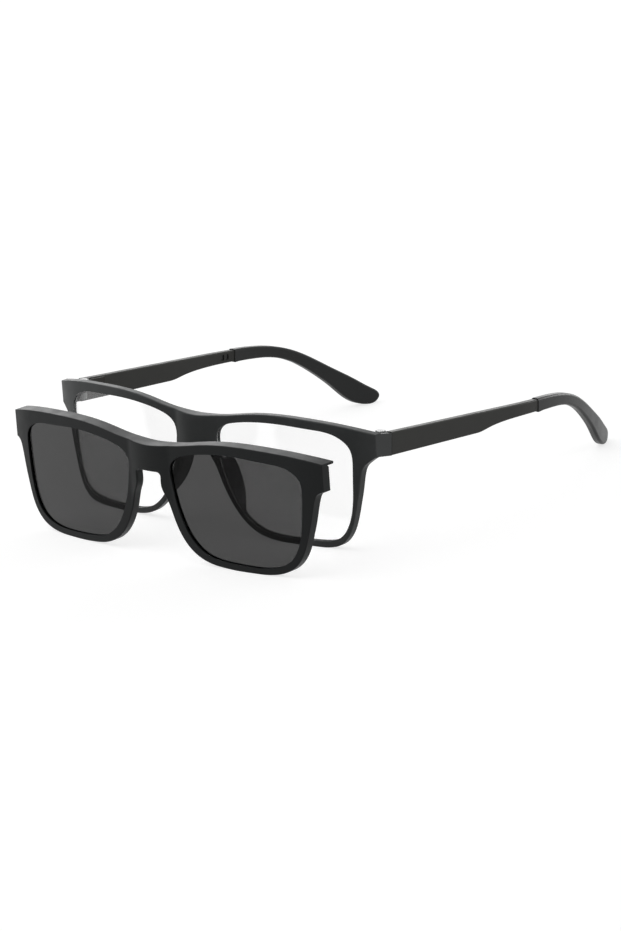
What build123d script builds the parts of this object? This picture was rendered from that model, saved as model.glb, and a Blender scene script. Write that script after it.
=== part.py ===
from build123d import *
import os
from math import sqrt, sin, cos, radians

# Spectacle frame with a magnetic clip-on, in millimetres.
# x runs across the face, y runs from the fronts back along the temples, z is up from the table.
# Everything is drawn about the frame's own middle plane and moved to the shared origin at the end.
# Right-hand pieces are drawn and mirrored. "Right" is the +x side.

# Frame front
half_width = 70.0
front_height = 42.2
corner_height = 38.9
end_piece_height = 7.6
front_radius = 340.0
end_radius = 42.0
end_turn_x = 58.0
rim_depth = 2.4
bridge_arch_height = 28.2
bridge_arch_half_width = 6.0
bridge_arch_round = 1.9
bridge_half_width = 7.0
bridge_flank_half_width = 9.4
bridge_bulge = 1.2
bridge_end_share = 0.35
bridge_rear_swell = 0.3
front_edge_round = 0.35

# Frame lenses
lens_inner_x = 9.0
lens_width = 53.2
lens_bottom = 1.9
lens_opening_height = 37.5
lens_thickness = 1.4
lens_set_back = 0.5
groove_depth = 0.6
lens_play = 0.08

# Nose pads, moulded with the front
pad_top = 27.5
pad_bottom = 7.5
pad_reach = 8.2
pad_splay = 1.3
pad_thickness = 1.9
pad_inset = 0.3

# Temples
side_face_length = 8.0
temple_slope = 5.8
temple_top_at_joint = 37.8
lug_top_drop = 0.3
lug_thickness = 2.6
temple_thickness = 2.6
temple_height = 7.6
arm_length = 73.9
arm_step_start = 43.0
arm_step_height = 6.65
neck_height = 3.95
joint_gap = 0.15
bend_start = 61.0
bend_radius = 144.0
arm_edge_round = 0.45

# Temple tips
tip_length = 55.6
tip_top_at_joint = 30.65
tip_thickness = 3.0
tip_edge_round = 0.8
tongue_length = 8.0
tongue_height = 1.9
tongue_thickness = 1.0
tongue_play = 0.05
window_lengths = (1.7, 1.2)
window_centres = (5.9, 3.5)
latch_proud = 0.45

# Hinges
hinge_axis_inset = 3.7
hinge_axis_ahead = 1.2
barrel_radius = 1.7
barrel_height = 6.6
barrel_top_rise = 0.2
knuckle_gap = 0.06
barrel_relief = 0.2
leaf_thickness = 0.8
leaf_height = 5.4
front_leaf_length = 3.9
temple_leaf_length = 8.6
leaf_play = 0.03
hinge_screw_radius = 0.7
hinge_screw_play = 0.05
hinge_screw_head_radius = 1.2
hinge_screw_head_height = 0.6
slot_width = 0.35
slot_depth = 0.3
leaf_screw_radius = 0.5
leaf_screw_head_radius = 0.85
leaf_screw_head_height = 0.35
leaf_screw_depth = 1.5
leaf_screw_pitch = 3.4
leaf_screw_end = 1.4

# Magnets
magnet_radius = 1.5
magnet_thickness = 1.2
magnet_x = 64.8
magnet_below_corner = 3.6
magnet_play = 0.03
magnet_skin = 0.5
plug_thickness = 0.6

# Clip
clip_half_width = 67.8
clip_height = 40.9
clip_end_piece_height = 8.4
clip_depth = 3.0
clip_gap = 0.1
clip_arch_height = 28.9
clip_arch_half_width = 5.2
clip_arch_round = 1.4
lip_overhang = 2.0
lip_thickness = 0.8
lip_clearance = 0.3
clip_lens_inner_x = 9.2
clip_lens_width = 51.4
clip_lens_bottom = 1.95
clip_lens_opening_height = 35.7
clip_lens_thickness = 0.9
clip_lens_set_back = 0.6
clip_rear_bevel = 1.3

# Place of the clip at rest, standing on the table in front of the frame
clip_rest_side = 8.1
clip_rest_ahead = 27.7

# How strongly the lower edge follows its directions at the end piece and at the nose
lower_edge_pull = (0.5, 0.5)

# How far a cutting tool runs past what it cuts, and the points used to grow an outline
overrun = 6.0
grown_outline_points = 48

# Outlines as shares, chosen by hand, of the sizes named beside them.
# Top edge, short of the corner: shares of half_width and of front_height.
top_edge_shares = [(0.0, 0.920), (0.085, 0.927), (0.19, 0.945), (0.29, 0.972), (0.40, 0.993),
                   (0.52, 1.0), (0.68, 0.992), (0.80, 0.979), (0.91, 0.955)]
# Lower edge of the right half, from the end piece round to the nose: the same shares.
lower_edge_shares = [(0.966, 0.706), (0.940, 0.664), (0.926, 0.600), (0.913, 0.480), (0.898, 0.365),
                     (0.877, 0.225), (0.846, 0.107), (0.798, 0.031), (0.740, 0.004), (0.660, -0.005),
                     (0.560, -0.006), (0.443, 0.004), (0.336, 0.045), (0.250, 0.143), (0.180, 0.291),
                     (0.131, 0.453), (0.100, 0.572)]
# Lens opening: shares of lens_width and lens_opening_height, from the nose side of the opening.
opening_shares = [(0.0, 0.745), (0.030, 0.893), (0.141, 0.957), (0.320, 0.992), (0.507, 1.0),
                  (0.714, 0.988), (0.906, 0.946), (0.985, 0.857), (1.0, 0.664), (0.989, 0.400),
                  (0.957, 0.193), (0.891, 0.058), (0.752, 0.006), (0.583, 0.0), (0.395, 0.009),
                  (0.263, 0.061), (0.147, 0.198), (0.064, 0.400), (0.013, 0.611)]
# Clip's lower edge: shares of clip_half_width and clip_height.
clip_lower_edge_shares = [(0.972, 0.695), (0.954, 0.640), (0.943, 0.565), (0.932, 0.475), (0.913, 0.355),
                          (0.890, 0.232), (0.857, 0.135), (0.808, 0.062), (0.733, 0.015), (0.640, -0.003),
                          (0.540, -0.005), (0.440, 0.004), (0.337, 0.027), (0.240, 0.102), (0.167, 0.242),
                          (0.126, 0.397), (0.099, 0.515), (0.077, 0.600)]
# Clip's lens opening: shares of clip_lens_width and clip_lens_opening_height.
clip_opening_shares = [(0.0, 0.727), (0.021, 0.872), (0.141, 0.950), (0.315, 0.989), (0.518, 1.0),
                       (0.731, 0.980), (0.909, 0.941), (0.985, 0.860), (1.0, 0.699), (0.986, 0.448),
                       (0.956, 0.252), (0.897, 0.113), (0.770, 0.021), (0.596, 0.0), (0.412, 0.010),
                       (0.257, 0.052), (0.151, 0.158), (0.072, 0.336), (0.021, 0.559)]
# Arm's lower edge behind its step: shares of the length left and of the rise to the neck.
arm_step_shares = [(0.06, 0.08), (0.20, 0.40), (0.33, 0.62), (0.46, 0.76), (0.59, 0.85), (0.74, 0.92), (1.0, 1.0)]
# Tip: shares of tip_length and tip_top_at_joint, over the top and back along the bottom.
tip_top_shares = [(0.0, 1.0), (0.161, 0.967), (0.314, 0.909), (0.449, 0.818), (0.585, 0.674),
                  (0.720, 0.502), (0.847, 0.339), (0.950, 0.195), (1.0, 0.090)]
tip_bottom_shares = [(0.978, 0.022), (0.910, 0.004), (0.836, 0.055), (0.711, 0.274), (0.585, 0.489),
                     (0.449, 0.671), (0.314, 0.775), (0.161, 0.824), (0.0, 0.852)]
# Nose pad seen from the side: shares of its height, from the bottom, and of its reach.
pad_side_shares = [(0.0, 0.28), (0.10, 0.52), (0.28, 0.86), (0.50, 1.0), (0.76, 0.95), (0.93, 0.66), (1.0, 0.30)]

# The fronts' common curve: a wide arc, and a tighter one where the end pieces turn back
turn_share = end_turn_x / front_radius
end_centre_x = end_turn_x - end_radius * turn_share
end_centre_y = front_radius - (front_radius - end_radius) * sqrt(1 - turn_share ** 2)


def shell_y(x, depth):
    """y of the common curve at x, this far behind the frame's front face."""
    if abs(x) <= (front_radius - depth) * turn_share:
        return front_radius - sqrt((front_radius - depth) ** 2 - x ** 2)
    return end_centre_y - sqrt((end_radius - depth) ** 2 - (abs(x) - end_centre_x) ** 2)


# Places that follow from the sizes
clip_seat_lift = front_height + lip_clearance + lip_thickness - clip_height
end_piece_y = shell_y(half_width, 0.0)
joint_y = end_piece_y + side_face_length
lug_inner_x = half_width - lug_thickness
hinge_x = half_width - hinge_axis_inset
temple_plane = Plane(
    origin=(0, joint_y, temple_top_at_joint),
    x_dir=(0, cos(radians(temple_slope)), -sin(radians(temple_slope))),
    z_dir=(1, 0, 0),
)
hinge_up = Vector(0, sin(radians(temple_slope)), cos(radians(temple_slope)))
knuckle_height = (barrel_height - 2 * knuckle_gap) / 3
barrel_top = barrel_top_rise
knuckle_tops = [barrel_top - i * (knuckle_height + knuckle_gap) for i in range(3)]
leaf_middle = barrel_top - barrel_height / 2
leaf_inner_x = lug_inner_x - leaf_thickness
front_leaf_start = -hinge_axis_ahead - barrel_radius - barrel_relief
temple_leaf_start = -hinge_axis_ahead + barrel_radius + barrel_relief
arm_centre_inset = temple_thickness / 2
tip_start_y = joint_y + arm_length * cos(radians(temple_slope))
tongue_run = tongue_length * cos(radians(temple_slope))
clip_lens_front = -clip_gap - clip_depth + clip_lens_set_back


def at_share(shares, width, height, x0=0.0, z0=0.0):
    return [(x0 + sx * width, z0 + sz * height) for sx, sz in shares]


def mirrored(solid):
    return mirror(solid, about=Plane.YZ)


def slab(face, near=-overrun, far=end_piece_y + side_face_length):
    """Face drawn in x and z, extruded from y = near to y = far."""
    return extrude(Plane.XZ.offset(-near) * face, amount=far - near, dir=(0, 1, 0))


def prism(face, low, high):
    """Face drawn in x and y, extruded from z = low to z = high."""
    return extrude(face.moved(Location((0, 0, low))), amount=high - low, dir=(0, 0, 1))


def side_prism(face, inner_x, outer_x):
    """Face drawn in the temple's plane, extruded from x = inner_x to x = outer_x."""
    return extrude(temple_plane.offset(inner_x) * face, amount=outer_x - inner_x, dir=(1, 0, 0))


def box_face(x_low, x_high, z_low, z_high):
    corners = [(x_low, z_low), (x_high, z_low), (x_high, z_high), (x_low, z_high)]
    return make_face(Polyline(*corners, close=True))


def plate_profile(depth, shift):
    """One side of a curved plate seen from above, with the bridge arched by shift."""
    inner = bridge_half_width
    flank = bridge_flank_half_width
    turn = (front_radius - depth) * turn_share
    reach = half_width + overrun
    middle_y = shell_y(0.0, depth) + shift
    inner_y = shell_y(inner, depth) + shift * bridge_end_share
    rise = inner_y - middle_y
    edges = [ThreePointArc((-inner, inner_y), (0, middle_y), (inner, inner_y))]
    for side in (-1, 1):
        rim_start = (side * flank, shell_y(flank, depth))
        arch_slope = (side * (inner ** 2 - rise ** 2), 2 * inner * rise)
        rim_slope = (side * (front_radius - shell_y(flank, depth)), flank)
        edges.append(Spline((side * inner, inner_y), rim_start, tangents=[arch_slope, rim_slope]))
        for low, high in ((flank, turn), (turn, reach)):
            places = [(side * x, shell_y(x, depth)) for x in (low, (low + high) / 2, high)]
            edges.append(ThreePointArc(*places))
    return edges


def curved_plate(front_depth, back_depth, front_shift=0.0, back_shift=0.0):
    """Curved plate between two depths, taller than the fronts."""
    reach = half_width + overrun
    edges = plate_profile(front_depth, front_shift) + plate_profile(back_depth, back_shift)
    for side in (-1, 1):
        edges.append(Line((side * reach, shell_y(reach, front_depth)), (side * reach, shell_y(reach, back_depth))))
    return prism(make_face(edges), -overrun, front_height + overrun)


def top_curve(points):
    """Level at the middle plane, and running out straight at the corner."""
    last, before = points[-1], points[-2]
    return Spline(*points, tangents=[(1, 0), (last[0] - before[0], last[1] - before[1])])


def front_outline(top_points, end_bottom, lower_points, arch_height, arch_half_width, arch_round):
    """Whole front: along the top, down the end pieces and round under the nose."""
    low_corner = (half_width, end_bottom)
    shoulder = (arch_half_width, arch_height - arch_round)
    half = [
        top_curve(top_points),
        Line(top_points[-1], low_corner),
        Spline(low_corner, *lower_points, shoulder, tangents=[(-1, 0), (0, 1)], tangent_scalars=lower_edge_pull),
        CenterArc((arch_half_width - arch_round, arch_height - arch_round), arch_round, 0, 90),
        Line((arch_half_width - arch_round, arch_height), (0, arch_height)),
    ]
    return make_face(half + [mirror(edge, about=Plane.YZ) for edge in half])


def round_outline(front, depth):
    """Rounds the edge all round a front's outline, at the depth of its front face."""
    nose_to_end = lens_inner_x + lens_width
    outline_edges = []
    for edge in front.edges():
        points = [edge @ share for share in (0.1, 0.5, 0.9)]
        behind = [point.Y - shell_y(point.X, depth) for point in points]
        upright = abs(points[0].X - points[2].X) < lens_play and abs(points[0].X) < nose_to_end
        if max(behind) < lens_play and min(behind) > -bridge_bulge - lens_play and not upright:
            outline_edges.append(edge)
    return fillet(outline_edges, front_edge_round)


def stand_flat(front):
    """Flattens the lowest points of the rims where they meet the table."""
    return front & slab(box_face(-half_width, half_width, 0, front_height + overrun))


def opening_face(shares, x0, z0, width, height, grow=0.0):
    """Right lens outline, grown outwards where the lens enters its groove."""
    outline = Spline(*at_share(shares, width, height, x0, z0), periodic=True)
    if grow == 0.0:
        return make_face(outline)
    grown = []
    for step in range(grown_outline_points):
        point = outline @ (step / grown_outline_points)
        along = outline % (step / grown_outline_points)
        grown.append((point.X - grow * along.Y, point.Y + grow * along.X))
    return make_face(Spline(*grown, periodic=True))


def lens_blank(outline, front_depth, thickness):
    """Curved lens cut from its outline."""
    return slab(outline) & curved_plate(front_depth, front_depth + thickness)


# Frame front and its lenses
def frame_top_points():
    return at_share(top_edge_shares, half_width, front_height) + [(half_width, corner_height)]


def frame_opening(grow=0.0):
    return opening_face(opening_shares, lens_inner_x, lens_bottom, lens_width, lens_opening_height, grow)


def frame_lens():
    return lens_blank(frame_opening(groove_depth), lens_set_back, lens_thickness)


def make_lug():
    """Right end piece's return, which carries the hinge."""
    start_y = end_piece_y + rim_depth / 2
    rear = [temple_plane.from_local_coords((0, h, 0)) for h in (-lug_top_drop, -temple_height)]
    corners = [(start_y, corner_height)] + [(point.Y, point.Z) for point in rear]
    corners.append((start_y, corner_height - end_piece_height))
    face = Plane.YZ.offset(lug_inner_x) * make_face(Polyline(*corners, close=True))
    return extrude(face, amount=lug_thickness, dir=(1, 0, 0))


def make_pad():
    """Right nose pad: a fin behind the rim's nose side, leaning out towards its rear edge."""
    height = pad_top - pad_bottom
    side = at_share([(sz, sy) for sz, sy in pad_side_shares], height, pad_reach, pad_bottom)
    points = [(y, z) for z, y in side]
    side_face = make_face([Spline(*points), Polyline(points[-1], (0, pad_top), (0, pad_bottom), points[0])])
    profile = extrude(Plane.YZ * side_face, amount=half_width / 2)
    lowest, highest = pad_bottom / 2, pad_top + overrun
    farthest = lens_inner_x + lens_width / 2
    rim_line = []
    for x, z in at_share(lower_edge_shares, half_width, front_height):
        if lowest < z < highest and x < farthest:
            rim_line.append((x + pad_inset, z))
    inner_edge = Spline(*rim_line)
    outer_edge = inner_edge.moved(Location((pad_thickness, 0, 0)))
    ends = [Line(inner_edge @ t, outer_edge @ t) for t in (0, 1)]
    root = Plane.XZ.offset(-rim_depth / 2) * make_face([inner_edge, outer_edge] + ends)
    rear = Plane.XZ.offset(-pad_reach - rim_depth) * make_face([inner_edge, outer_edge] + ends)
    rear = rear.moved(Location((pad_splay, 0, 0)))
    return loft([root.face(), rear.face()]) & profile


def magnet_bar(start, end, radius, drop=0.0):
    """Round bar on the right magnets' axis, square to the fronts' curve, between two depths."""
    face_y = shell_y(magnet_x, 0.0)
    front_face = Plane(
        origin=(magnet_x, face_y, corner_height - magnet_below_corner - drop),
        x_dir=(0, 0, 1), z_dir=(end_centre_x - magnet_x, end_centre_y - face_y, 0),
    )
    return front_face.offset(start) * extrude(Circle(radius), amount=end - start)


def hinge_bar(radius, top, bottom):
    """Round bar on the right hinge's axis between two heights below the temple's top line."""
    plane = Plane(
        origin=temple_plane.from_local_coords((-hinge_axis_ahead, bottom, hinge_x)),
        x_dir=(1, 0, 0), z_dir=hinge_up,
    )
    return plane * extrude(Circle(radius), amount=top - bottom)


def leaf_plate(start, end, play=0.0):
    """Hinge leaf against the inside of the right end piece or temple."""
    half = leaf_height / 2 + play
    face = box_face(start - play, end + play, leaf_middle - half, leaf_middle + half)
    return side_prism(face, leaf_inner_x - play, lug_inner_x + play)


def knuckle(index, leaf_start):
    """One knuckle with the web that joins it to its leaf."""
    top = knuckle_tops[index]
    bottom = top - knuckle_height
    low, high = sorted((-hinge_axis_ahead, leaf_start))
    web = side_prism(box_face(low, high, bottom, top), leaf_inner_x, lug_inner_x)
    return hinge_bar(barrel_radius, top, bottom) + web


def leaf_screw_spots():
    """Screw places along the temple: one in the front leaf, two in the temple leaf."""
    front = [front_leaf_start - leaf_screw_end]
    rear_end = temple_leaf_start + temple_leaf_length
    return front, [rear_end - leaf_screw_end, rear_end - leaf_screw_end - leaf_screw_pitch]


def leaf_screw(along, play=0.0):
    """Small screw from inside through a leaf into the plastic."""
    centre = (along, leaf_middle)
    shank = extrude(temple_plane.offset(leaf_inner_x) * Pos(*centre) * Circle(leaf_screw_radius + play),
                    amount=leaf_thickness + leaf_screw_depth, dir=(1, 0, 0))
    if play > 0:
        return shank
    head = extrude(temple_plane.offset(leaf_inner_x) * Pos(*centre) * Circle(leaf_screw_head_radius),
                   amount=leaf_screw_head_height, dir=(-1, 0, 0))
    slot = side_prism(
        box_face(along - leaf_screw_head_radius, along + leaf_screw_head_radius,
                 leaf_middle - slot_width / 2, leaf_middle + slot_width / 2),
        leaf_inner_x - leaf_screw_head_height, leaf_inner_x - leaf_screw_head_height + slot_depth / 2,
    )
    return shank + head - slot


def hinge_front_leaf():
    leaf = leaf_plate(front_leaf_start - front_leaf_length, front_leaf_start)
    leaf = leaf + knuckle(0, front_leaf_start) + knuckle(2, front_leaf_start)
    leaf -= hinge_bar(hinge_screw_radius + leaf_play, overrun, -temple_height - overrun)
    leaf -= hinge_bar(hinge_screw_head_radius + leaf_play, overrun, barrel_top - hinge_screw_head_height)
    for along in leaf_screw_spots()[0]:
        leaf -= leaf_screw(along, leaf_play)
    return leaf


def hinge_temple_leaf():
    leaf = leaf_plate(temple_leaf_start, temple_leaf_start + temple_leaf_length) + knuckle(1, temple_leaf_start)
    leaf -= hinge_bar(hinge_screw_radius + hinge_screw_play, overrun, -temple_height - overrun)
    for along in leaf_screw_spots()[1]:
        leaf -= leaf_screw(along, leaf_play)
    return leaf


def hinge_screw():
    head_bottom = barrel_top - hinge_screw_head_height
    screw = hinge_bar(hinge_screw_head_radius, barrel_top, head_bottom)
    screw += hinge_bar(hinge_screw_radius, head_bottom, barrel_top - barrel_height)
    half = slot_width / 2
    slot = side_prism(
        box_face(-hinge_axis_ahead - half, -hinge_axis_ahead + half, barrel_top - slot_depth, overrun),
        hinge_x - hinge_screw_head_radius, hinge_x + hinge_screw_head_radius,
    )
    return screw - slot


def frame_front():
    """Moulded front with its nose pads and hinge returns."""
    outline = front_outline(
        frame_top_points(), corner_height - end_piece_height,
        at_share(lower_edge_shares, half_width, front_height),
        bridge_arch_height, bridge_arch_half_width, bridge_arch_round,
    )
    front = slab(outline) & curved_plate(0.0, rim_depth, -bridge_bulge, bridge_rear_swell)
    front = round_outline(front, 0.0)
    opening = slab(frame_opening())
    groove = lens_blank(frame_opening(groove_depth + lens_play), lens_set_back - lens_play,
                        lens_thickness + 2 * lens_play)
    barrel_room = hinge_bar(barrel_radius + barrel_relief, overrun, -temple_height - overrun)
    leaf_room = leaf_plate(front_leaf_start - front_leaf_length, front_leaf_start, leaf_play)
    screw_room = leaf_screw(leaf_screw_spots()[0][0], leaf_play)
    seat = magnet_bar(magnet_skin, overrun, magnet_radius + magnet_play)
    for side in (lambda piece: piece, mirrored):
        front = front + side(make_lug()) + side(make_pad())
    for side in (lambda piece: piece, mirrored):
        for tool in (opening, groove, barrel_room, leaf_room, screw_room, seat):
            front = front - side(tool)
    return stand_flat(front)


def frame_magnet():
    return magnet_bar(magnet_skin, magnet_skin + magnet_thickness, magnet_radius)


def magnet_plug():
    """Plastic plug that closes the magnet's seat from behind."""
    start = magnet_skin + magnet_thickness
    return magnet_bar(start, start + plug_thickness, magnet_radius)


# Temples
def bend_band(start, end, thickness, centre_inset):
    """Plan of the temple between two places along y: straight, then curving inwards."""
    centre_x = half_width - centre_inset
    turn_y = joint_y + bend_start * cos(radians(temple_slope))
    half = thickness / 2

    def rail(y, side):
        radius = bend_radius + side * half
        if y <= turn_y:
            return (centre_x + side * half, y)
        return (centre_x - bend_radius + sqrt(radius ** 2 - (y - turn_y) ** 2), y)

    edges = []
    for side in (-1, 1):
        if start < turn_y:
            edges.append(Line(rail(start, side), rail(turn_y, side)))
        begin = max(start, turn_y)
        edges.append(ThreePointArc(rail(begin, side), rail((begin + end) / 2, side), rail(end, side)))
    edges += [Line(rail(y, -1), rail(y, 1)) for y in (start, end)]
    return make_face(edges)


def tongue(play=0.0):
    """Tongue of the tip inside the arm's end, and the socket for it when given some play."""
    middle = -neck_height / 2
    half = tongue_height / 2 + play
    face = box_face(arm_length - tongue_length - play, arm_length + tip_thickness, middle - half, middle + half)
    start = tip_start_y - tongue_run - overrun
    band = bend_band(start, tip_start_y + overrun, tongue_thickness + 2 * play, arm_centre_inset)
    return side_prism(face, 0, half_width) & prism(band, 0, front_height)


def latch_window(length, centre):
    """Small window in the arm's inner face, over the tongue."""
    middle = -neck_height / 2
    face = box_face(arm_length - centre - length / 2, arm_length - centre + length / 2,
                    middle - tongue_height / 2, middle + tongue_height / 2)
    inner = half_width - temple_thickness - overrun / 2
    return side_prism(face, inner, half_width - arm_centre_inset - tongue_thickness / 2)


def latch_bump(length, centre):
    """Bump on the tongue that clicks into the window."""
    middle = -neck_height / 2
    half = length / 2 - tongue_play
    face = box_face(arm_length - centre - half, arm_length - centre + half,
                    middle - tongue_height / 2 + tongue_play, middle + tongue_height / 2 - tongue_play)
    start = tip_start_y - tongue_run - overrun
    band = bend_band(start, tip_start_y, tongue_thickness + 2 * latch_proud, arm_centre_inset)
    return side_prism(face, 0, half_width - arm_centre_inset - tongue_thickness / 2) & prism(band, 0, front_height)


def temple_arm():
    step = (arm_step_start, -arm_step_height)
    run = arm_length - arm_step_start
    rise = arm_step_height - neck_height
    lower = [(step[0] + sx * run, step[1] + sz * rise) for sx, sz in arm_step_shares]
    face = make_face([
        Polyline(step, (joint_gap, -temple_height), (joint_gap, 0), (arm_length, 0), lower[-1]),
        Spline(step, *lower),
    ])
    band = bend_band(joint_y - overrun, tip_start_y + overrun, temple_thickness, arm_centre_inset)
    arm = side_prism(face, 0, half_width + overrun) & prism(band, -overrun, front_height)
    arm = fillet([edge for edge in arm.edges() if edge.length > tongue_length], arm_edge_round)
    arm -= hinge_bar(barrel_radius + barrel_relief, overrun, -temple_height - overrun)
    for along in leaf_screw_spots()[1]:
        arm -= leaf_screw(along, leaf_play)
    arm -= tongue(tongue_play)
    for length, centre in zip(window_lengths, window_centres):
        arm -= latch_window(length, centre)
    return arm


def temple_tip():
    """Curved tip, with the tongue that plugs into the arm."""
    top = at_share(tip_top_shares, tip_length, tip_top_at_joint, tip_start_y)
    bottom = at_share(tip_bottom_shares, tip_length, tip_top_at_joint, tip_start_y)
    ahead = [(y - tip_thickness, z) for y, z in (bottom[-1], top[0])]
    outline = [Spline(*top, *bottom), Polyline(bottom[-1], *ahead, top[0])]
    blank = extrude(Plane.YZ * make_face(outline), amount=half_width + overrun)
    band = bend_band(tip_start_y - overrun, tip_start_y + tip_length + overrun, tip_thickness, arm_centre_inset)
    tip = blank & prism(band, -overrun, front_height)
    behind_arm = box_face(arm_length, arm_length + 2 * tip_length, -2 * front_height, overrun)
    keep = side_prism(behind_arm, 0, half_width + overrun)
    tip = tip & keep
    tip = fillet([edge for edge in tip.edges() if edge.length > tip_length / 2], tip_edge_round)
    tip += tongue()
    for length, centre in zip(window_lengths, window_centres):
        tip += latch_bump(length, centre)
    return tip


# Clip
def clip_opening(grow=0.0):
    return opening_face(
        clip_opening_shares, clip_lens_inner_x, clip_lens_bottom, clip_lens_width, clip_lens_opening_height, grow
    )


def clip_top_points(below_top=0.0):
    """The frame's own top edge, at the height it has when the clip is seated over it."""
    shift = clip_height - front_height - below_top
    return [(x, z + shift) for x, z in frame_top_points()]


def lip_blank():
    """Ledge all along the clip's top, which reaches back over the frame."""
    top = top_curve(clip_top_points())
    bottom = top_curve(clip_top_points(lip_thickness))
    edges = [top, bottom, Line(top @ 1, bottom @ 1)]
    blank = slab(make_face(edges + [mirror(edge, about=Plane.YZ) for edge in edges]))
    return blank & curved_plate(-clip_gap - clip_depth / 2, lip_overhang - clip_gap, -bridge_bulge)


def bevel_openings(clip):
    """Bevels the clip's lens openings behind their lenses, so that less of their walls shows."""
    nearest = clip_lens_inner_x - lens_play
    farthest = clip_lens_inner_x + clip_lens_width + lens_play
    lowest = clip_lens_bottom - lens_play
    rear_edges = []
    for edge in clip.edges():
        points = [edge @ share for share in (0.1, 0.5, 0.9)]
        in_rear_face = all(abs(point.Y - shell_y(point.X, -clip_gap)) < lens_play for point in points)
        round_opening = all(nearest < abs(point.X) < farthest and point.Z > lowest for point in points)
        if in_rear_face and round_opening:
            rear_edges.append(edge)
    return chamfer(rear_edges, clip_rear_bevel)


def clip_front():
    outline = front_outline(
        clip_top_points(), clip_height - front_height + corner_height - clip_end_piece_height,
        at_share(clip_lower_edge_shares, clip_half_width, clip_height),
        clip_arch_height, clip_arch_half_width, clip_arch_round,
    )
    sides = slab(box_face(-clip_half_width, clip_half_width, -overrun, front_height))
    clip = slab(outline) & curved_plate(-clip_gap - clip_depth, -clip_gap, -bridge_bulge, -bridge_bulge)
    clip = round_outline(clip & sides, -clip_gap - clip_depth)
    opening = slab(clip_opening())
    clip = bevel_openings(clip - opening - mirrored(opening)) + (lip_blank() & sides)
    groove = lens_blank(clip_opening(groove_depth + lens_play), clip_lens_front - lens_play,
                        clip_lens_thickness + 2 * lens_play)
    seat = magnet_bar(-clip_gap - magnet_thickness, overrun, magnet_radius + magnet_play, clip_seat_lift)
    for side in (lambda piece: piece, mirrored):
        for tool in (opening, groove, seat):
            clip = clip - side(tool)
    return stand_flat(clip)


def clip_lens():
    return lens_blank(clip_opening(groove_depth), clip_lens_front, clip_lens_thickness)


def clip_magnet():
    return magnet_bar(-clip_gap - magnet_thickness, -clip_gap, magnet_radius, clip_seat_lift)


def all_pieces():
    """Every piece by name, in the frame's own place, with the clip where it stands at rest."""
    clip_place = Location((clip_rest_side, -clip_rest_ahead, 0))
    leaf_screws_front = [leaf_screw(along) for along in leaf_screw_spots()[0]]
    leaf_screws_temple = [leaf_screw(along) for along in leaf_screw_spots()[1]]
    pieces = {"frame_front": frame_front(), "clip_front": clip_front().moved(clip_place)}
    right_hand = {
        "frame_lens": frame_lens(),
        "frame_magnet": frame_magnet(),
        "magnet_plug": magnet_plug(),
        "hinge_front_leaf": hinge_front_leaf(),
        "hinge_temple_leaf": hinge_temple_leaf(),
        "hinge_screw": hinge_screw(),
        "front_leaf_screw": Compound(children=leaf_screws_front),
        "temple_leaf_screws": Compound(children=leaf_screws_temple),
        "temple_arm": temple_arm(),
        "temple_tip": temple_tip(),
    }
    for name, piece in right_hand.items():
        pieces[name + "_right"] = piece
        pieces[name + "_left"] = mirrored(piece)
    for name, piece in {"clip_lens": clip_lens(), "clip_magnet": clip_magnet()}.items():
        pieces[name + "_right"] = piece.moved(clip_place)
        pieces[name + "_left"] = mirrored(piece).moved(clip_place)
    return pieces


if __name__ == "__main__":
    os.makedirs("parts", exist_ok=True)
    pieces = all_pieces()
    boxes = [piece.bounding_box() for piece in pieces.values()]
    low = [min(getattr(box.min, axis) for box in boxes) for axis in "XYZ"]
    high = [max(getattr(box.max, axis) for box in boxes) for axis in "XYZ"]
    to_origin = Location((-(low[0] + high[0]) / 2, -(low[1] + high[1]) / 2, 0))
    for name, piece in pieces.items():
        export_step(piece.moved(to_origin), "parts/" + name + ".step")
    print("whole size", [round(b - a, 3) for a, b in zip(low, high)])
    print("middle plane at x", round(to_origin.position.X, 3), "front at y", round(to_origin.position.Y, 3))
    hinge_point = temple_plane.from_local_coords((-hinge_axis_ahead, leaf_middle, hinge_x))
    print("right hinge axis through", [round(c, 3) for c in Vector(hinge_point) + to_origin.position])
    print("hinge axis", [round(c, 5) for c in hinge_up])
    print("clip travel", [-clip_rest_side, clip_rest_ahead, round(clip_seat_lift, 3)])
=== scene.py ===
import math

import bmesh
import bpy
from bpy.props import FloatProperty, FloatVectorProperty, PointerProperty
from bpy.types import Operator, Panel, PropertyGroup
from mathutils import Matrix, Vector


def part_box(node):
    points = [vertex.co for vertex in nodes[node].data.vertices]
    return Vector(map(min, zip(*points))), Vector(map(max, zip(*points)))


bl_info = {
    "name": "Spectacles with magnetic clip-on",
    "version": (1, 0, 0),
    "blender": (4, 5, 0),
    "location": "3D View > Sidebar > Spectacles",
    "description": "Finishes and studio for a spectacle frame and its magnetic clip-on",
    "category": "Object",
}

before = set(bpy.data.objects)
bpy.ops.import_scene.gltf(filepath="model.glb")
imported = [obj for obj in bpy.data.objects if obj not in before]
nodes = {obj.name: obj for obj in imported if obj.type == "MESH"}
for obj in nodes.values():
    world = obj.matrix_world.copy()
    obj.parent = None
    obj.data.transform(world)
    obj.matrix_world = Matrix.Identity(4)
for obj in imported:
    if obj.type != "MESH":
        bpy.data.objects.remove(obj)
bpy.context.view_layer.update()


# Moulded surface: how many grains wide its changes of shade and sheen are, and how far they go

SHADE_GRAINS = 40
SHADE_DETAIL = 3.0
SHADE_SHARES = (0.88, 1.14)
SHEEN_GRAINS = 14
SHEEN_DETAIL = 4.0
SHEEN_SPREAD = (-0.04, 0.05)
GRAIN_DETAIL = 3.0
TIP_GRAIN_SHARE = 0.8

# Marks on steel and plating: how far they go, and how many fit in a brush size along X, Y and Z

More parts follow.
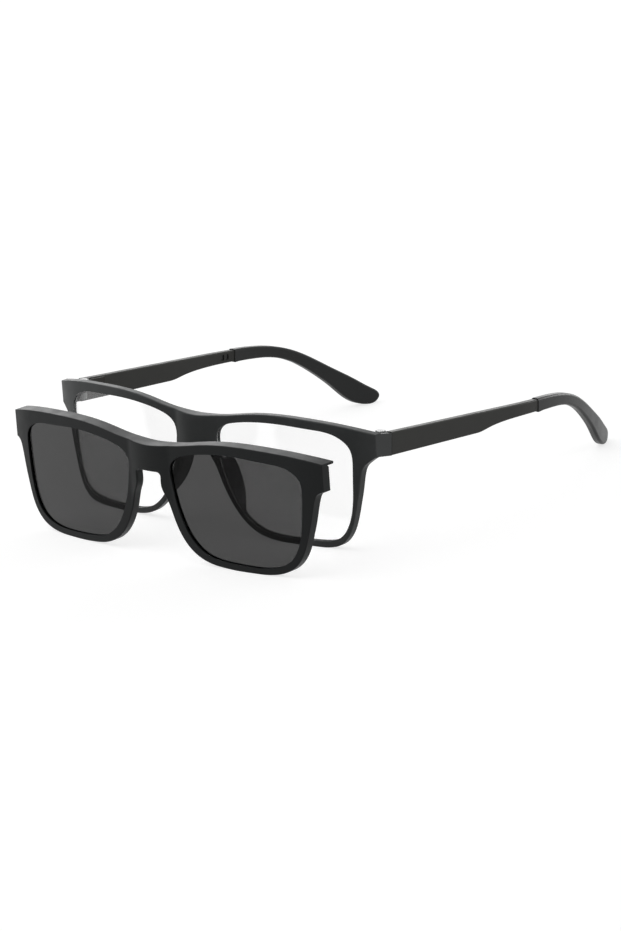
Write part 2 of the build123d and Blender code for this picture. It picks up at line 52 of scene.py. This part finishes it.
MARK_DETAIL = 2.0
MARK_SHADE_SHARE = 0.8
MARK_SPREAD = (-0.06, 0.1)
MARK_DEPTH_SHARE = 0.05
LEAF_MARKS = (1, 0.08, 1)
SCREW_MARKS = (1, 1, 0.2)
PLATING_MARKS = (1, 1, 1)

# Nearly all of a noise's values lie between these

NOISE_LOW = 0.3
NOISE_HIGH = 0.7

# Lens polish and ground edge; a face is edge where its direction has less than this share along Y

POLISH_DETAIL = 1.0
POLISH_HAZE = 0.012
EDGE_ROUGHNESS = 0.7
EDGE_SHARE = 0.5

# Studio: floor, sensor width in millimetres, and each panel lamp's place and size in metres

WHITE = (1, 1, 1, 1)
FLOOR_SIDES = 96
FLOOR_ROUGHNESS = 0.9
SENSOR_WIDTH = 36.0
PANELS = {
    "overhead": ((-0.5, -0.6, 1.6), (2.0, 2.0)),
    "behind": ((-1.1, 1.3, 0.45), (1.6, 0.9)),
    "side": ((-0.80, -0.80, 0.75), (0.7, 0.7)),
    "rear": ((0.35, 1.5, 0.22), (1.0, 0.4)),
}


# Sizes, colours and lamp levels that a user would change

def colour_property(name, description, default):
    return FloatVectorProperty(
        name=name, description=description, default=default, subtype="COLOR", min=0, max=1)


def share_property(name, description, default):
    return FloatProperty(name=name, description=description, default=default, subtype="FACTOR", min=0, max=1)


def level_property(name, description, default):
    return FloatProperty(name=name, description=description, default=default, min=0)


def length_property(name, description, default, smallest, decimals):
    return FloatProperty(
        name=name, description=description, default=default, unit="LENGTH", min=smallest, precision=decimals)


def turn_property(name, description, degrees):
    return FloatProperty(name=name, description=description, default=math.radians(degrees), unit="ROTATION")


class FinishSettings(PropertyGroup):
    """Colours, sheen and surface sizes of the plastics, lenses and metals."""
    # Frame front: its own dark tone, lightened as painted light that makes up for the shade and dark
    # reflection of the clip in front
    front_colour_and_painted_light: colour_property("Front plastic", "Moulded frame front", (0.0620, 0.0650, 0.0655))
    front_roughness: share_property("Front roughness", "Roughness of the frame front", 0.40)
    front_gloss: share_property("Front gloss", "Strength of the frame front's shine", 0.16)
    clip_colour: colour_property("Clip plastic", "Moulded clip front", (0.0092, 0.0104, 0.0107))
    clip_roughness: share_property("Clip roughness", "Roughness of the clip front", 0.40)
    clip_gloss: share_property("Clip gloss", "Strength of the clip front's shine", 0.15)
    temple_colour: colour_property("Temple plastic", "Temple arms", (0.0185, 0.0186, 0.0160))
    temple_roughness: share_property("Temple roughness", "Roughness of the temple arms", 0.42)
    temple_gloss: share_property("Temple gloss", "Strength of the temple arms' shine", 0.22)
    tip_colour: colour_property("Tip plastic", "Soft temple tips", (0.0125, 0.0136, 0.0136))
    tip_roughness: share_property("Tip roughness", "Roughness of the temple tips", 0.36)
    tip_gloss: share_property("Tip gloss", "Strength of the temple tips' shine", 0.26)
    steel_colour: colour_property("Hinge steel", "Hinge leaves on the front", (0.115, 0.120, 0.118))
    steel_roughness: share_property("Steel roughness", "Roughness of the front's hinge leaves", 0.34)
    blacked_colour: colour_property("Blacked steel", "Hinge leaves on the temples", (0.030, 0.029, 0.027))
    blacked_roughness: share_property("Blacked roughness", "Roughness of the temples' hinge leaves", 0.40)
    screw_colour: colour_property("Screw steel", "Hinge and leaf screws", (0.34, 0.34, 0.34))
    screw_roughness: share_property("Screw roughness", "Roughness of the screws", 0.26)
    plating_colour: colour_property("Magnet plating", "Nickel on the magnets", (0.72, 0.70, 0.67))
    plating_roughness: share_property("Plating roughness", "Roughness of the nickel", 0.16)
    clear_colour: colour_property("Clear lens", "Light let through a lens of the frame", (0.99, 0.99, 0.99))
    clear_index: FloatProperty(
        name="Clear index", description="Refractive index of the frame's lenses", default=1.45, min=1)
    tint_colour: colour_property("Lens tint", "Light let through a lens of the clip", (0.067, 0.067, 0.067))
    tint_index: FloatProperty(
        name="Tint index", description="Refractive index of the clip's lenses", default=1.15, min=1)
    # The white of a clear lens's edge is a painted highlight along the edge, not the colour of the glass
    edge_highlight_colour: colour_property("Lens edge", "Ground edge of a clear lens", (0.86, 0.87, 0.87))
    wave_size: length_property("Polish size", "Width of one wave of the lens polish", 0.006, 0.001, 4)
    grain_size: length_property("Grain size", "Width of one grain in moulded plastic", 0.00028, 0.00005, 5)
    grain_depth: length_property("Grain depth", "Depth of the moulded grain", 0.000012, 0, 6)
    brush_size: length_property("Brush size", "Width of one brush mark on the steel", 0.00008, 0.00001, 5)


class StudioSettings(PropertyGroup):
    """Camera place, floor and lamps."""
    camera_offset: FloatVectorProperty(
        name="Camera", description="Camera's place, counted from the middle of the front's lowest edge",
        default=(1.00164, -1.02012, 0.42673), unit="LENGTH")
    camera_azimuth: turn_property("Azimuth", "Turn of the camera round the object", 42.987)
    camera_elevation: turn_property("Elevation", "Camera's angle above the horizon", 15.927)
    camera_roll: turn_property("Roll", "Turn of the camera about its own axis", -4.034)
    camera_lens: FloatProperty(
        name="Lens", description="Focal length on a 36 mm wide sensor", default=176.70,
        subtype="DISTANCE_CAMERA")
    floor_radius: FloatProperty(
        name="Floor radius", description="Reach of the floor round the object", default=6.0, unit="LENGTH")
    floor_colour: colour_property("Floor", "Plain pale floor", (0.45, 0.45, 0.45))
    floor_lift: level_property("Floor lift", "Light added to the floor as background", 0.72)
    sky_level: level_property("Sky", "Level of the light from all round", 0.30)
    overhead_power: level_property("Overhead", "Power of the panel overhead", 13.5)
    behind_power: level_property("Behind", "Power of the panel behind", 6.0)
    side_power: level_property("Side", "Power of the panel in front at the left", 1.2)
    rear_power: level_property("Rear", "Power of the low panel behind the tips", 8.0)


# Materials, each as its own node tree

def node_tree(name):
    material = bpy.data.materials.new(name)
    material.use_nodes = True
    tree = material.node_tree
    tree.nodes.clear()
    output = tree.nodes.new("ShaderNodeOutputMaterial")
    shader = tree.nodes.new("ShaderNodeBsdfPrincipled")
    tree.links.new(shader.outputs["BSDF"], output.inputs["Surface"])
    return material, tree, shader


def noise(tree, size, detail, repeats=None):
    """Noise in a piece's own coordinates: one spot in each size, or as many as repeats along X, Y and Z."""
    coordinates = tree.nodes.new("ShaderNodeTexCoord")
    texture = tree.nodes.new("ShaderNodeTexNoise")
    texture.inputs["Scale"].default_value = 1.0 / size
    texture.inputs["Detail"].default_value = detail
    source = coordinates.outputs["Object"]
    if repeats:
        mapping = tree.nodes.new("ShaderNodeMapping")
        mapping.inputs["Scale"].default_value = repeats
        tree.links.new(source, mapping.inputs["Vector"])
        source = mapping.outputs["Vector"]
    tree.links.new(source, texture.inputs["Vector"])
    return texture.outputs["Fac"]


def ranged(tree, value, low, high):
    """Noise value stretched to run from low to high."""
    spread = tree.nodes.new("ShaderNodeMapRange")
    spread.inputs["From Min"].default_value = NOISE_LOW
    spread.inputs["From Max"].default_value = NOISE_HIGH
    spread.inputs["To Min"].default_value = low
    spread.inputs["To Max"].default_value = high
    tree.links.new(value, spread.inputs["Value"])
    return spread.outputs["Result"]


def roughened(tree, shader, value, roughness, spread):
    low, high = spread
    tree.links.new(ranged(tree, value, roughness + low, roughness + high), shader.inputs["Roughness"])


def coloured(tree, shader, factor, first, second):
    mix = tree.nodes.new("ShaderNodeMix")
    mix.data_type = "RGBA"
    mix.inputs["A"].default_value = (*first, 1)
    mix.inputs["B"].default_value = (*second, 1)
    tree.links.new(factor, mix.inputs["Factor"])
    tree.links.new(mix.outputs["Result"], shader.inputs["Base Color"])


def bumped(tree, shader, height, depth):
    bump = tree.nodes.new("ShaderNodeBump")
    bump.inputs["Strength"].default_value = 1.0
    bump.inputs["Distance"].default_value = depth
    tree.links.new(height, bump.inputs["Height"])
    tree.links.new(bump.outputs["Normal"], shader.inputs["Normal"])


def scaled(colour, share):
    return tuple(c * share for c in colour)


def plastic(name, colour, roughness, gloss, finish, grain_share=1.0):
    """Moulded plastic: fine grain, with faint changes of shade and sheen."""
    material, tree, shader = node_tree(name)
    shader.inputs["Specular IOR Level"].default_value = gloss
    dark, light = SHADE_SHARES
    shade = noise(tree, finish.grain_size * SHADE_GRAINS, SHADE_DETAIL)
    coloured(tree, shader, shade, scaled(colour, dark), scaled(colour, light))
    sheen = noise(tree, finish.grain_size * SHEEN_GRAINS, SHEEN_DETAIL)
    roughened(tree, shader, sheen, roughness, SHEEN_SPREAD)
    grain = noise(tree, finish.grain_size * grain_share, GRAIN_DETAIL)
    bumped(tree, shader, grain, finish.grain_depth * grain_share)
    return material


def metal(name, colour, roughness, finish, repeats):
    """Steel with fine marks, drawn out along one direction where it is brushed."""
    material, tree, shader = node_tree(name)
    marks = noise(tree, finish.brush_size, MARK_DETAIL, repeats)
    shader.inputs["Metallic"].default_value = 1.0
    coloured(tree, shader, marks, scaled(colour, MARK_SHADE_SHARE), colour)
    roughened(tree, shader, marks, roughness, MARK_SPREAD)
    bumped(tree, shader, marks, finish.brush_size * MARK_DEPTH_SHARE)
    return material


def ground_edge(tree, faces, colour):
    """Frosts the faces that don't look ahead or back, which is the edge all round a lens, in the given
    colour; the white given to a clear lens is a painted highlight along its edge.
    """
    frost = tree.nodes.new("ShaderNodeBsdfPrincipled")
    frost.inputs["Base Color"].default_value = (*colour, 1)
    frost.inputs["Roughness"].default_value = EDGE_ROUGHNESS
    coordinates = tree.nodes.new("ShaderNodeTexCoord")
    direction = tree.nodes.new("ShaderNodeSeparateXYZ")
    ahead = tree.nodes.new("ShaderNodeMath")
    ahead.operation = "ABSOLUTE"
    sideways = tree.nodes.new("ShaderNodeMath")
    sideways.operation = "LESS_THAN"
    sideways.inputs[1].default_value = EDGE_SHARE
    mix = tree.nodes.new("ShaderNodeMixShader")
    tree.links.new(coordinates.outputs["Normal"], direction.inputs["Vector"])
    tree.links.new(direction.outputs["Y"], ahead.inputs[0])
    tree.links.new(ahead.outputs["Value"], sideways.inputs[0])
    tree.links.new(sideways.outputs["Value"], mix.inputs["Fac"])
    tree.links.new(faces, mix.inputs[1])
    tree.links.new(frost.outputs["BSDF"], mix.inputs[2])
    return mix.outputs["Shader"]


def lens_glass(name, colour, index, edge_highlight_colour, finish):
    """Polished lens that lets light through, with a faint waviness of its polish and a ground edge; on a
    clear lens the edge's white is a painted highlight.
    """
    material, tree, shader = node_tree(name)
    surface = shader.outputs["BSDF"].links[0].to_socket
    shader.inputs["Base Color"].default_value = (*colour, 1)
    shader.inputs["Transmission Weight"].default_value = 1.0
    shader.inputs["IOR"].default_value = index
    polish = noise(tree, finish.wave_size, POLISH_DETAIL)
    tree.links.new(ranged(tree, polish, 0.0, POLISH_HAZE), shader.inputs["Roughness"])
    clear = tree.nodes.new("ShaderNodeBsdfTransparent")
    clear.inputs["Color"].default_value = (*colour, 1)
    path = tree.nodes.new("ShaderNodeLightPath")
    mix = tree.nodes.new("ShaderNodeMixShader")
    tree.links.new(path.outputs["Is Shadow Ray"], mix.inputs["Fac"])
    tree.links.new(ground_edge(tree, shader.outputs["BSDF"], edge_highlight_colour), mix.inputs[1])
    tree.links.new(clear.outputs["BSDF"], mix.inputs[2])
    tree.links.new(mix.outputs["Shader"], surface)
    return material


def dress(material, *names):
    for name in names:
        for slot in nodes[name].material_slots:
            slot.material = material


def both(*names):
    return [name + side for name in names for side in ("_left", "_right")]


# One operator for each piece or group of like pieces

class FINISH_OT_fronts(Operator):
    """Finish the moulded front and the plugs behind its magnets"""
    bl_idname = "spectacles.finish_fronts"
    bl_label = "Frame front"

    def execute(self, context):
        finish = context.scene.spectacles_finish
        # The front's colour carries painted light against the clip's shade, and the magnet plugs share it
        front = plastic(
            "front_plastic", finish.front_colour_and_painted_light, finish.front_roughness, finish.front_gloss, finish)
        dress(front, "frame_front", *both("magnet_plug"))
        return {"FINISHED"}


class FINISH_OT_clip(Operator):
    """Finish the clip-on's moulded front"""
    bl_idname = "spectacles.finish_clip"
    bl_label = "Clip front"

    def execute(self, context):
        finish = context.scene.spectacles_finish
        clip = plastic(
            "clip_plastic", finish.clip_colour, finish.clip_roughness, finish.clip_gloss, finish)
        dress(clip, "clip_front")
        return {"FINISHED"}


class FINISH_OT_temples(Operator):
    """Finish the temple arms and their soft tips"""
    bl_idname = "spectacles.finish_temples"
    bl_label = "Temples"

    def execute(self, context):
        finish = context.scene.spectacles_finish
        arm = plastic(
            "temple_plastic", finish.temple_colour, finish.temple_roughness, finish.temple_gloss, finish)
        dress(arm, *both("temple_arm"))
        tip = plastic(
            "tip_plastic", finish.tip_colour, finish.tip_roughness, finish.tip_gloss, finish,
            TIP_GRAIN_SHARE)
        dress(tip, *both("temple_tip"))
        return {"FINISHED"}


class FINISH_OT_lenses(Operator):
    """Glaze the frame with clear lenses and the clip with tinted ones"""
    bl_idname = "spectacles.finish_lenses"
    bl_label = "Lenses"

    def execute(self, context):
        finish = context.scene.spectacles_finish
        # The clear lenses' edges get the white painted highlight; the tinted ones keep their tint there
        clear = lens_glass("clear_lens", finish.clear_colour, finish.clear_index, finish.edge_highlight_colour, finish)
        dress(clear, *both("frame_lens"))
        tinted = lens_glass("tinted_lens", finish.tint_colour, finish.tint_index, finish.tint_colour, finish)
        dress(tinted, *both("clip_lens"))
        return {"FINISHED"}


class FINISH_OT_hinges(Operator):
    """Finish the hinge leaves and all screws"""
    bl_idname = "spectacles.finish_hinges"
    bl_label = "Hinges"

    def execute(self, context):
        finish = context.scene.spectacles_finish
        steel = metal("hinge_steel", finish.steel_colour, finish.steel_roughness, finish, LEAF_MARKS)
        dress(steel, *both("hinge_front_leaf"))
        blacked = metal("blacked_steel", finish.blacked_colour, finish.blacked_roughness, finish, LEAF_MARKS)
        dress(blacked, *both("hinge_temple_leaf"))
        bright = metal("screw_steel", finish.screw_colour, finish.screw_roughness, finish, SCREW_MARKS)
        dress(bright, *both("hinge_screw", "front_leaf_screw", "temple_leaf_screws"))
        return {"FINISHED"}


class FINISH_OT_magnets(Operator):
    """Plate the magnets with nickel"""
    bl_idname = "spectacles.finish_magnets"
    bl_label = "Magnets"

    def execute(self, context):
        finish = context.scene.spectacles_finish
        plating = metal(
            "magnet_plating", finish.plating_colour, finish.plating_roughness, finish, PLATING_MARKS)
        dress(plating, *both("frame_magnet", "clip_magnet"))
        return {"FINISHED"}


class STAGE_OT_studio(Operator):
    """Lay the floor, hang the lamps and set up the camera"""
    bl_idname = "spectacles.set_studio"
    bl_label = "Studio"

    def execute(self, context):
        studio = context.scene.spectacles_studio
        lay_floor(context.scene, studio)
        light_sky(context.scene, studio)
        for name, (spot, size) in PANELS.items():
            hang_panel(context.scene, name, spot, size, getattr(studio, name + "_power"))
        set_camera(context.scene, studio)
        context.scene.view_settings.view_transform = "Standard"
        return {"FINISHED"}


# Floor, sky, lamp and camera

def background_ray(tree):
    """1 for rays that show the background: straight, in a reflection or through a lens."""
    path = tree.nodes.new("ShaderNodeLightPath")
    shown = path.outputs["Is Camera Ray"]
    for ray in ("Is Glossy Ray", "Is Transmission Ray"):
        either = tree.nodes.new("ShaderNodeMath")
        either.operation = "MAXIMUM"
        tree.links.new(shown, either.inputs[0])
        tree.links.new(path.outputs[ray], either.inputs[1])
        shown = either.outputs["Value"]
    return shown


def lay_floor(scene, studio):
    """Round floor under the object; what the camera sees of it is white but for the object's shadow."""
    mesh = bpy.data.meshes.new("floor")
    disc = bmesh.new()
    bmesh.ops.create_circle(disc, cap_ends=True, radius=studio.floor_radius, segments=FLOOR_SIDES)
    disc.to_mesh(mesh)
    disc.free()
    floor = bpy.data.objects.new("floor", mesh)
    scene.collection.objects.link(floor)
    material, tree, shader = node_tree("floor_paper")
    shader.inputs["Base Color"].default_value = (*studio.floor_colour, 1)
    shader.inputs["Roughness"].default_value = FLOOR_ROUGHNESS
    shader.inputs["Specular IOR Level"].default_value = 0.0
    shader.inputs["Emission Color"].default_value = WHITE
    lift = tree.nodes.new("ShaderNodeMath")
    lift.operation = "MULTIPLY"
    lift.inputs[1].default_value = studio.floor_lift
    tree.links.new(background_ray(tree), lift.inputs[0])
    tree.links.new(lift.outputs["Value"], shader.inputs["Emission Strength"])
    floor.data.materials.append(material)


def light_sky(scene, studio):
    """Even light from all round, and plain white where the background shows."""
    world = bpy.data.worlds.new("studio")
    scene.world = world
    world.use_nodes = True
    tree = world.node_tree
    tree.nodes.clear()
    output = tree.nodes.new("ShaderNodeOutputWorld")
    sky = tree.nodes.new("ShaderNodeBackground")
    sky.inputs["Color"].default_value = WHITE
    level = tree.nodes.new("ShaderNodeMix")
    level.data_type = "FLOAT"
    level.inputs["A"].default_value = studio.sky_level
    level.inputs["B"].default_value = 1.0
    tree.links.new(background_ray(tree), level.inputs["Factor"])
    tree.links.new(level.outputs["Result"], sky.inputs["Strength"])
    tree.links.new(sky.outputs["Background"], output.inputs["Surface"])


def hang_panel(scene, name, spot, size, power):
    """Soft panel lamp that faces the object."""
    lamp = bpy.data.lights.new(name, "AREA")
    lamp.shape = "RECTANGLE"
    lamp.size, lamp.size_y = size
    lamp.energy = power
    panel = bpy.data.objects.new(name, lamp)
    panel.location = spot
    panel.rotation_euler = Vector(spot).to_track_quat("Z", "Y").to_euler()
    scene.collection.objects.link(panel)


def set_camera(scene, studio):
    """Camera at the photograph's angle, with its roll."""
    azimuth, elevation, roll = studio.camera_azimuth, studio.camera_elevation, studio.camera_roll
    back = Vector((
        math.sin(azimuth) * math.cos(elevation),
        -math.cos(azimuth) * math.cos(elevation),
        math.sin(elevation),
    ))
    level_right = Vector((math.cos(azimuth), math.sin(azimuth), 0))
    level_up = back.cross(level_right)
    right = level_right * math.cos(roll) + level_up * math.sin(roll)
    up = level_up * math.cos(roll) - level_right * math.sin(roll)
    turn = Matrix((right, up, back)).transposed().to_4x4()
    low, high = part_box("frame_front")
    foot = Vector(((low[0] + high[0]) / 2, low[1], low[2]))
    data = bpy.data.cameras.new("camera")
    data.sensor_width = SENSOR_WIDTH
    data.lens = studio.camera_lens
    camera = bpy.data.objects.new("camera", data)
    camera.matrix_world = Matrix.Translation(foot + Vector(studio.camera_offset)) @ turn
    scene.collection.objects.link(camera)
    scene.camera = camera


class VIEW3D_PT_spectacles(Panel):
    """Lists every step in the sidebar"""
    bl_label = "Spectacles"
    bl_idname = "VIEW3D_PT_spectacles"
    bl_space_type = "VIEW_3D"
    bl_region_type = "UI"
    bl_category = "Spectacles"

    def draw(self, context):
        for operator in OPERATORS:
            self.layout.operator(operator.bl_idname)
        for settings in (context.scene.spectacles_finish, context.scene.spectacles_studio):
            box = self.layout.box()
            for name in settings.__annotations__:
                box.prop(settings, name)


OPERATORS = (
    FINISH_OT_fronts,
    FINISH_OT_clip,
    FINISH_OT_temples,
    FINISH_OT_lenses,
    FINISH_OT_hinges,
    FINISH_OT_magnets,
    STAGE_OT_studio,
)
CLASSES = (FinishSettings, StudioSettings, *OPERATORS, VIEW3D_PT_spectacles)


def register():
    for cls in CLASSES:
        bpy.utils.register_class(cls)
    bpy.types.Scene.spectacles_finish = PointerProperty(type=FinishSettings)
    bpy.types.Scene.spectacles_studio = PointerProperty(type=StudioSettings)


def unregister():
    del bpy.types.Scene.spectacles_studio
    del bpy.types.Scene.spectacles_finish
    for cls in reversed(CLASSES):
        bpy.utils.unregister_class(cls)


def main():
    register()
    for operator in OPERATORS:
        group, name = operator.bl_idname.split(".")
        getattr(getattr(bpy.ops, group), name)()


if __name__ == "__main__":
    main()
